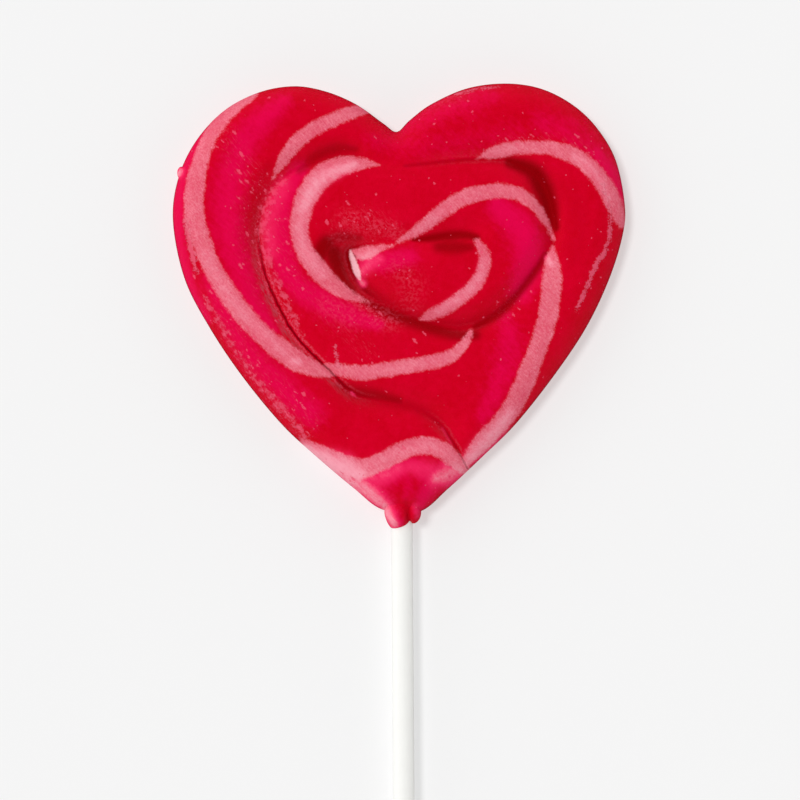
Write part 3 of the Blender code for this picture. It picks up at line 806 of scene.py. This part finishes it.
def calculate_vector(tree, operation, inputs):
    """One step of arithmetic on vectors."""
    return add_node(tree, "ShaderNodeVectorMath", inputs, operation=operation).outputs[0]


def turn_vector(tree, vector, angle):
    """A vector turned about Z."""
    inputs = {"Vector": vector, "Angle": angle}
    return add_node(tree, "ShaderNodeVectorRotate", inputs, rotation_type="Z_AXIS").outputs[0]


def chain(tree, operation, *values):
    """One operation over several values in turn."""
    result = values[0]
    for value in values[1:]:
        result = calculate(tree, operation, result, value)
    return result


def product(tree, *values):
    """All the values multiplied."""
    return chain(tree, "MULTIPLY", *values)


def greatest(tree, *values):
    """The greatest of the values."""
    return chain(tree, "MAXIMUM", *values)


def weigh(tree, start, *parts):
    """A start value plus other values, each times its share."""
    total = start
    for value, share in parts:
        total = calculate(tree, "MULTIPLY_ADD", value, share, total)
    return total


def roughen(tree, value, *textures):
    """A value with 0 to 1 textures added as offsets round zero, each with its full swing."""
    for texture, size in textures:
        value = calculate(tree, "ADD", value, weigh(tree, -size / 2, (texture, size)))
    return value


def fade(tree, value, low, high, low_value=0.0, high_value=1.0):
    """A smooth step of a value between two limits."""
    item = add_node(tree, "ShaderNodeMapRange", {
        "Value": value, "From Min": low, "From Max": high, "To Min": low_value, "To Max": high_value,
    }, interpolation_type="SMOOTHSTEP")
    return item.outputs[0]


def threshold(tree, value, edge, softness):
    """A mask that is 1 where the value is above the edge, with a soft step."""
    return fade(tree, value, edge - softness, edge + softness)


def blend_colours(tree, factor, first, second):
    """The first colour turned into the second as far as the factor says."""
    return add_node(tree, "ShaderNodeMix", {0: factor, 6: first, 7: second}, data_type="RGBA").outputs[2]


def attribute(tree, name):
    """A value that the mesh stores point by point."""
    item = add_node(tree, "ShaderNodeAttribute", attribute_name=name, attribute_type="GEOMETRY")
    return item.outputs["Fac"]


def scaled_position(tree, given, size):
    """A group's position divided by one of its sizes."""
    share = calculate(tree, "DIVIDE", 1.0, given[size])
    return calculate_vector(tree, "SCALE", {0: given["Position"], 3: share})


def contrasted(tree, texture, given):
    """A 0 to 1 texture with a group's contrast set round its middle."""
    offset = calculate(tree, "SUBTRACT", texture, 0.5)
    strong = product(tree, offset, given["Contrast"])
    return calculate(tree, "ADD", strong, 0.5, clamp=True)


def build_grain(tree, given):
    """Soft mottling at one scale."""
    texture = add_node(tree, "ShaderNodeTexNoise", {
        "Vector": scaled_position(tree, given, "Size"), "Scale": 1.0, "Detail": 3.0, "Roughness": 0.6})
    return contrasted(tree, texture.outputs[0], given)


def build_specks(tree, given):
    """Small round specks, more of them where Density is high."""
    cells = add_node(tree, "ShaderNodeTexVoronoi", {
        "Vector": scaled_position(tree, given, "Spacing"), "Scale": 1.0})
    chance = add_node(tree, "ShaderNodeSeparateColor", {0: cells.outputs["Color"]})
    radius = calculate(tree, "DIVIDE", given["Radius"], given["Spacing"])
    outer = product(tree, radius, calculate(tree, "ADD", chance.outputs[1], 0.4))
    dot = fade(tree, cells.outputs["Distance"], outer, product(tree, outer, 0.5))
    chosen = calculate(tree, "LESS_THAN", chance.outputs[0], given["Density"])
    return product(tree, dot, chosen)


def build_strokes(tree, given):
    """Fine parallel strokes at an angle."""
    turned = turn_vector(tree, given["Position"], given["Angle"])
    width = given["Width"]
    size = add_node(tree, "ShaderNodeCombineXYZ", {0: given["Length"], 1: width, 2: width})
    scaled = calculate_vector(tree, "DIVIDE", {0: turned, 1: size.outputs[0]})
    texture = add_node(tree, "ShaderNodeTexNoise", {
        "Vector": scaled, "Scale": 1.0, "Detail": 2.0, "Roughness": 0.5})
    return contrasted(tree, texture.outputs[0], given)


# The shared textures: how each is built, its values besides Position, and what it puts out
TEXTURES = {
    "Grain": (build_grain, {"Size": 1.0, "Contrast": 1.0}, "Value"),
    "Specks": (build_specks, {"Spacing": 1.0, "Radius": 0.15, "Density": 0.3}, "Mask"),
    "Strokes": (build_strokes, {"Angle": 0.0, "Length": 1.0, "Width": 0.1, "Contrast": 1.0}, "Value"),
}


def texture_group(name):
    """The node group of a shared texture, which is built at its first use."""
    if name in bpy.data.node_groups:
        return bpy.data.node_groups[name]
    build, values, result = TEXTURES[name]
    tree = bpy.data.node_groups.new(name, "ShaderNodeTree")
    tree.interface.new_socket("Position", in_out="INPUT", socket_type="NodeSocketVector")
    for label, default in values.items():
        socket = tree.interface.new_socket(label, in_out="INPUT", socket_type="NodeSocketFloat")
        socket.default_value = default
    tree.interface.new_socket(result, in_out="OUTPUT", socket_type="NodeSocketFloat")
    given = tree.nodes.new("NodeGroupInput").outputs
    feed(tree, tree.nodes.new("NodeGroupOutput"), {result: build(tree, given)})
    return tree


def place_texture(tree, name, position, **values):
    """A shared texture on a position in millimetres, with its named values fed."""
    inputs = {"Position": position, **values}
    return add_node(tree, "ShaderNodeGroup", inputs, node_tree=texture_group(name)).outputs[0]


def position_in_mm(tree):
    """Position on the piece, in millimetres."""
    place = tree.nodes.new("ShaderNodeTexCoord")
    return calculate_vector(tree, "SCALE", {0: place.outputs["Object"], 3: 1.0 / MM})


def new_material(name):
    """A material, its node tree and its shader."""
    material = bpy.data.materials.new(name)
    material.use_nodes = True
    return material, material.node_tree, material.node_tree.nodes["Principled BSDF"]


class SugarTextures:
    """The surface textures that the sugar's colours, gloss and relief share."""

    HATCH_ANGLE = math.radians(50.0)
    DRAWN_ANGLE = math.radians(42.0)

    def __init__(self, tree):
        place = position_in_mm(tree)
        self.position = place
        self.broad = place_texture(tree, "Grain", place, Size=6.0, Contrast=1.6)
        self.medium = place_texture(tree, "Grain", place, Size=1.1, Contrast=1.8)
        self.fine = place_texture(tree, "Grain", place, Size=0.3, Contrast=1.8)
        self.hatch = place_texture(
            tree, "Strokes", place, Angle=self.HATCH_ANGLE, Length=1.1, Width=0.16, Contrast=2.0)
        self.drawn = place_texture(
            tree, "Strokes", place, Angle=self.DRAWN_ANGLE, Length=3.2, Width=0.45, Contrast=2.2)


def sugar_base_colour(tree, textures, colours):
    """Clear red, magenta on the crests that is partly cloudy sugar and partly painted sheen, and painted
    shade in the valleys, on shaded slopes and round the rim.
    """
    flow = roughen(tree, textures.broad, (textures.medium, 0.8))
    red = blend_colours(tree, flow, colours.shaded_red, colours.bright_red)
    # Magenta: partly cloudy sugar, partly painted sheen on the crests and rims that face the light
    cloudy_and_sheen = roughen(tree, attribute(tree, "magenta_and_sheen"), (textures.medium, 0.30), (textures.drawn, 0.22))
    tinted = blend_colours(tree, fade(tree, cloudy_and_sheen, 0.05, 0.95), red, colours.magenta_and_sheen)
    # Painted shade: the colour turns dark red in the grooves, on slopes turned from the light and round
    # the rim
    valley = roughen(tree, attribute(tree, "valley"), (textures.medium, 0.10))
    return blend_colours(tree, fade(tree, valley, 0.05, 0.95), tinted, colours.painted_shade_red)


def sugar_stripe_mask(tree, textures):
    """Nearly solid stripes with finely toothed, slightly soft edges."""
    ragged = roughen(tree, attribute(tree, "stripe"), (textures.medium, 0.50), (textures.hatch, 0.22),
                     (textures.fine, 0.30))
    body = threshold(tree, ragged, 0.02, 0.32)
    veil = weigh(tree, 0.0, (textures.medium, 0.5), (textures.drawn, 0.5))
    return product(tree, body, fade(tree, veil, 0.2, 0.75, low_value=0.80))


def sugar_faint_mask(tree, textures):
    """Worn stripes that break up into patches and teeth, and the hairlines."""
    jagged = roughen(tree, attribute(tree, "faint_stripe"), (textures.medium, 1.4), (textures.fine, 1.0),
                     (textures.drawn, 0.6))
    patchy = threshold(tree, textures.medium, 0.48, 0.2)
    worn = product(tree, threshold(tree, jagged, 0.0, 0.4), patchy, 0.7)
    wander = roughen(tree, attribute(tree, "hairline"), (textures.fine, 0.7), (textures.medium, 0.7))
    return greatest(tree, worn, product(tree, threshold(tree, wander, 0.0, 0.15), 0.95))


def sugar_cloud(tree, textures):
    """How thick the pale, mottled clouds of air are."""
    mottled = weigh(tree, 0.0, (textures.fine, 0.35), (textures.drawn, 0.25), (textures.medium, 0.4))
    return product(tree, attribute(tree, "cloud"), weigh(tree, 0.5, (mottled, 0.7)))


def sugar_speck_mask(tree, textures):
    """Pinholes, flecks and short scratches, crowded where the surface is scuffed."""
    scuff = attribute(tree, "scuff")
    scratch = attribute(tree, "scratch")
    shifts = add_node(tree, "ShaderNodeTexNoise", {
        "Vector": textures.position, "Scale": 2.2, "Detail": 1.0}).outputs["Color"]
    shaken = calculate_vector(tree, "MULTIPLY_ADD", {0: shifts, 1: (0.5, 0.5, 0.5), 2: textures.position})
    turned = turn_vector(tree, shaken, textures.HATCH_ANGLE)
    stretched = calculate_vector(tree, "MULTIPLY", {0: turned, 1: (0.4, 1.0, 1.0)})
    crowd = weigh(tree, 0.03, (product(tree, scuff, scuff), 0.50))
    pinholes = place_texture(tree, "Specks", shaken, Spacing=0.55, Radius=0.17, Density=crowd)
    flecks = place_texture(tree, "Specks", shaken, Spacing=2.1, Radius=0.26, Density=0.25)
    chipped = weigh(tree, 0.01, (product(tree, scratch, textures.broad), 1.3))
    chips = place_texture(tree, "Specks", stretched, Spacing=0.75, Radius=0.25, Density=chipped)
    scratches = product(tree, threshold(tree, textures.hatch, 0.74, 0.14), scratch, 0.45)
    foam = place_texture(tree, "Grain", textures.position, Size=0.55, Contrast=2.6)
    patches = product(tree, threshold(tree, foam, 0.62, 0.30), scuff, 0.55)
    return greatest(tree, pinholes, flecks, chips, scratches, patches)


def sugar_crack_masks(tree, textures):
    """The dark crack between two turns, the pale chipped lips beside it and the dust outside it."""
    opened = attribute(tree, "crack")
    side = roughen(tree, attribute(tree, "groove_side"), (textures.medium, 0.35))
    gap = calculate(tree, "ABSOLUTE", side)
    slit = threshold(tree, attribute(tree, "slit"), 0.0, 0.12)
    core = greatest(tree, slit, product(tree, fade(tree, gap, 0.26, 0.06), opened))
    lips = product(tree, fade(tree, gap, 0.28, 0.42), fade(tree, gap, 0.95, 0.55), opened,
                   threshold(tree, textures.fine, 0.45, 0.15))
    dust = product(tree, fade(tree, side, -0.35, -0.8), fade(tree, side, -2.1, -1.2), opened,
                   threshold(tree, textures.hatch, 0.45, 0.25))
    return core, lips, dust


def sugar_material(colours):
    """Red and magenta boiled sugar with painted shade and sheen, ragged, frosty pink stripes, scuffs and
    pinholes.
    """
    material, tree, shader = new_material("boiled_sugar")
    textures = SugarTextures(tree)
    stripe = sugar_stripe_mask(tree, textures)
    faint = sugar_faint_mask(tree, textures)
    cloud = sugar_cloud(tree, textures)
    specks = sugar_speck_mask(tree, textures)
    core, lips, dust = sugar_crack_masks(tree, textures)
    chipped_end = roughen(tree, attribute(tree, "rope_end"), (textures.fine, 0.25))
    rope_end = threshold(tree, chipped_end, 0.02, 0.2)
    mottle = weigh(tree, 0.0, (textures.hatch, 0.3), (textures.broad, 0.3), (textures.fine, 0.4))
    pink = blend_colours(tree, fade(tree, mottle, 0.25, 0.85), colours.stripe_pink, colours.stripe_pale)
    frosted_pink = blend_colours(tree, fade(tree, cloud, 0.0, 1.0), pink, colours.frost)
    haze = blend_colours(tree, fade(tree, cloud, 0.3, 1.0), colours.hot_pink, colours.frost)

    colour = sugar_base_colour(tree, textures, colours)
    for strength, mask, paint in (
        (0.5, dust, colours.dust),
        (1.0, faint, colours.stripe_pink),
        (0.95, fade(tree, cloud, 0.0, 0.5), haze),
        (1.0, stripe, frosted_pink),
        (0.55, lips, colours.stripe_pink),
        (0.7, specks, colours.fleck),
        (1.0, rope_end, colours.rope_end),
        (0.72, core, colours.crack),
    ):
        colour = blend_colours(tree, product(tree, mask, strength), colour, paint)

    dull = greatest(tree, stripe, cloud, attribute(tree, "scuff"))
    height = weigh(tree, 0.0, (textures.fine, 0.3), (textures.medium, 0.9),
                   (product(tree, stripe, textures.hatch), 0.35), (specks, -0.7), (faint, 0.9))
    bump = add_node(tree, "ShaderNodeBump", {"Height": height, "Distance": 0.12 * MM, "Strength": 0.6})
    feed(tree, shader, {
        "Base Color": colour,
        "Roughness": weigh(tree, 0.36, (dull, 0.16), (textures.medium, 0.10)),
        "Normal": bump.outputs[0],
        "IOR": 1.5,
        "Specular IOR Level": 0.03,
    })
    return material


def paper_material(colours):
    """White rolled paper with faint lengthwise fibres."""
    material, tree, shader = new_material("rolled_paper")
    place = position_in_mm(tree)
    lengthwise = math.radians(90.0)
    fibres = place_texture(tree, "Strokes", place, Angle=lengthwise, Length=2.4, Width=0.10, Contrast=1.5)
    blotches = place_texture(tree, "Grain", place, Size=2.5, Contrast=1.0)
    flecks = place_texture(tree, "Specks", place, Spacing=0.9, Radius=0.05, Density=0.25)
    shade = [value * 0.95 for value in colours.paper]
    pulp = (0.75, 0.72, 0.66)
    mixed = weigh(tree, 0.0, (blotches, 0.5), (fibres, 0.5))
    body = blend_colours(tree, mixed, shade, colours.paper)
    bump = add_node(tree, "ShaderNodeBump", {"Height": fibres, "Distance": 0.03 * MM, "Strength": 0.5})
    feed(tree, shader, {
        "Base Color": blend_colours(tree, product(tree, flecks, 0.12), body, pulp),
        "Roughness": fade(tree, fibres, 0.0, 1.0, 0.5, 0.65),
        "Normal": bump.outputs[0],
        "Specular IOR Level": 0.2,
    })
    return material


def floor_material(colours, glow):
    """Frosted pale table, lit a little from below, with a hardly visible grain."""
    material, tree, shader = new_material("pale_floor")
    grain = place_texture(tree, "Grain", position_in_mm(tree), Size=1.5, Contrast=1.0)
    shade = [value * 0.995 for value in colours.floor]
    feed(tree, shader, {
        "Base Color": blend_colours(tree, grain, shade, colours.floor),
        "Roughness": 0.9,
        "Specular IOR Level": 0.0,
        "Emission Color": WHITE,
        "Emission Strength": glow,
    })
    return material


def make_rolled_stick(sizes):
    """One strip of paper rolled tight round itself, as a closed ribbon run along the stick."""
    steps_per_turn = 40
    hollow_radius = 0.15
    paper_share = 0.9
    end_unevenness = 0.05
    seam_turn = math.radians(-60.0)
    outer = sizes.stick_diameter / 2 / MM
    pitch = sizes.paper_thickness / MM
    paper = pitch * paper_share
    count = int((outer - hollow_radius) / pitch * steps_per_turn)
    length = sizes.stick_length / MM
    points = []
    for index in range(count + 1):
        turn = index / steps_per_turn
        angle = seam_turn + 2.0 * math.pi * turn
        radius = outer - pitch * turn
        direction = Vector((math.cos(angle), 0.0, math.sin(angle)))
        ends = end_unevenness * abs(noise.noise(Vector((turn * 0.9, 3.0, 0.0))))
        for y in (ends, length - ends):
            for distance in (radius, radius - paper):
                point = direction * distance
                points.append((point.x * MM, y * MM, point.z * MM))
    last = 4 * count
    faces = [(0, 1, 3, 2), (last, last + 2, last + 3, last + 1)]
    for a in range(0, last, 4):
        b = a + 4
        faces += [
            (a, b, b + 1, a + 1), (a + 2, a + 3, b + 3, b + 2),
            (a, a + 2, b + 2, b), (a + 1, b + 1, b + 3, a + 3),
        ]
    mesh = bpy.data.meshes.new("paper_stick")
    mesh.from_pydata(points, [], faces)
    mesh.transform(stick_place(STICK_INSIDE, length))
    mesh.update()
    return mesh


class LOLLIPOP_OT_head(bpy.types.Operator):
    """Builds the swirl head of boiled sugar"""

    bl_idname = "lollipop.head"
    bl_label = "Sugar head"

    def execute(self, context):
        sizes = context.scene.lollipop_sizes
        plan = HeartPlan(sizes)
        head = new_object("sugar_head", make_head_mesh(plan))
        for centre, half_sizes in DRIPS:
            combine(head, make_drip(centre, half_sizes), "UNION")
        combine(head, make_socket(sizes.stick_diameter + 2 * SOCKET_GAP * MM), "DIFFERENCE")
        store_sugar_pattern(head.data, plan)
        head.data.shade_smooth()
        head.data.materials.clear()
        head.data.materials.append(sugar_material(context.scene.lollipop_colours))
        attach(head, "root")
        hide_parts("candy")
        return {"FINISHED"}


class LOLLIPOP_OT_stick(bpy.types.Operator):
    """Builds the rolled paper stick"""

    bl_idname = "lollipop.stick"
    bl_label = "Paper stick"

    SHARP_ANGLE = math.radians(40.0)

    def execute(self, context):
        stick = new_object("paper_stick", make_rolled_stick(context.scene.lollipop_sizes))
        stick.data.shade_smooth()
        stick.data.set_sharp_from_angle(angle=self.SHARP_ANGLE)
        stick.data.materials.append(paper_material(context.scene.lollipop_colours))
        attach(stick, "root")
        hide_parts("stick")
        return {"FINISHED"}


class LOLLIPOP_OT_stage(bpy.types.Operator):
    """Lays the floor and sets the lights and the camera"""

    bl_idname = "lollipop.stage"
    bl_label = "Stage"

    SENSOR_WIDTH = 36.0
    NEAREST_SEEN = 0.01
    FLOOR_HALF = 1.5
    FLOOR_DROP = 0.0001
    LIGHT_SIDE = math.radians(152.0)

    def execute(self, context):
        scene = context.scene
        self.lay_floor(scene)
        self.light(scene)
        self.place_camera(scene)
        scene.view_settings.view_transform = "Standard"
        return {"FINISHED"}

    def lay_floor(self, scene):
        """A plain floor just under the lollipop, which the sugar doesn't mirror."""
        half = self.FLOOR_HALF
        corners = [(-half, -half, 0.0), (half, -half, 0.0), (half, half, 0.0), (-half, half, 0.0)]
        mesh = bpy.data.meshes.new("floor")
        mesh.from_pydata(corners, [], [(0, 1, 2, 3)])
        mesh.materials.append(floor_material(scene.lollipop_colours, scene.lollipop_stage.table_glow))
        floor = new_object("floor", mesh)
        floor.location.z = -self.FLOOR_DROP
        floor.visible_glossy = False

    def light(self, scene):
        """Two lamps and a sky that is dim straight overhead and dark below the horizon."""
        stage = scene.lollipop_stage
        self.add_lamp(scene, "key", stage.key_strength, elevation=72.0, spread=14.0)
        self.add_lamp(scene, "side", stage.side_strength, elevation=40.0, spread=40.0)
        world = bpy.data.worlds.new("soft_sky")
        world.use_nodes = True
        tree = world.node_tree
        place = tree.nodes.new("ShaderNodeTexCoord")
        height = add_node(tree, "ShaderNodeSeparateXYZ", {0: place.outputs["Generated"]}).outputs[2]
        overhead = fade(tree, height, 0.9, 0.3, low_value=0.03)
        strength = product(tree, overhead, fade(tree, height, -0.1, 0.2), stage.sky_strength)
        feed(tree, tree.nodes["Background"], {"Color": WHITE, "Strength": strength})
        scene.world = world

    def add_lamp(self, scene, name, strength, elevation, spread):
        """A far, soft lamp on the left; polarised, so that it leaves no glare on the sugar."""
        lamp = bpy.data.lights.new(name, "SUN")
        lamp.energy = strength
        lamp.angle = math.radians(spread)
        item = bpy.data.objects.new(name, lamp)
        height = math.tan(math.radians(elevation))
        towards = Vector((math.cos(self.LIGHT_SIDE), math.sin(self.LIGHT_SIDE), height))
        item.rotation_euler = towards.to_track_quat("Z", "Y").to_euler()
        item.visible_glossy = False
        scene.collection.objects.link(item)

    def place_camera(self, scene):
        """A camera straight above that sees the view width at the head's widest section."""
        stage = scene.lollipop_stage
        data = bpy.data.cameras.new("camera")
        data.lens = stage.lens
        data.sensor_width = self.SENSOR_WIDTH
        data.clip_start = self.NEAREST_SEEN
        camera = bpy.data.objects.new("camera", data)
        distance = stage.lens / self.SENSOR_WIDTH * stage.view_width
        height = scene.lollipop_sizes.equator + distance
        camera.location = (stage.view_middle[0], stage.view_middle[1], height)
        scene.collection.objects.link(camera)
        scene.camera = camera


class LOLLIPOP_PT_panel(bpy.types.Panel):
    """Lists the pieces of the lollipop and their settings"""

    bl_idname = "LOLLIPOP_PT_panel"
    bl_label = "Heart Swirl Lollipop"
    bl_space_type = "VIEW_3D"
    bl_region_type = "UI"
    bl_category = "Lollipop"

    def draw(self, context):
        for operator in OPERATORS:
            self.layout.operator(operator.bl_idname)
        for group in (context.scene.lollipop_sizes, context.scene.lollipop_colours,
                      context.scene.lollipop_stage):
            box = self.layout.box()
            for name in group.__annotations__:
                box.prop(group, name)


GROUPS = {
    "lollipop_sizes": LollipopSizes,
    "lollipop_colours": LollipopColours,
    "lollipop_stage": LollipopStage,
}
OPERATORS = (LOLLIPOP_OT_head, LOLLIPOP_OT_stick, LOLLIPOP_OT_stage)


def register():
    for item in (*GROUPS.values(), *OPERATORS, LOLLIPOP_PT_panel):
        bpy.utils.register_class(item)
    for name, group in GROUPS.items():
        setattr(bpy.types.Scene, name, PointerProperty(type=group))


def unregister():
    for name in GROUPS:
        delattr(bpy.types.Scene, name)
    for item in (LOLLIPOP_PT_panel, *reversed(OPERATORS), *reversed(GROUPS.values())):
        bpy.utils.unregister_class(item)


def main():
    register()
    bpy.ops.lollipop.stage()
    bpy.ops.lollipop.head()
    bpy.ops.lollipop.stick()


if __name__ == "__main__":
    main()
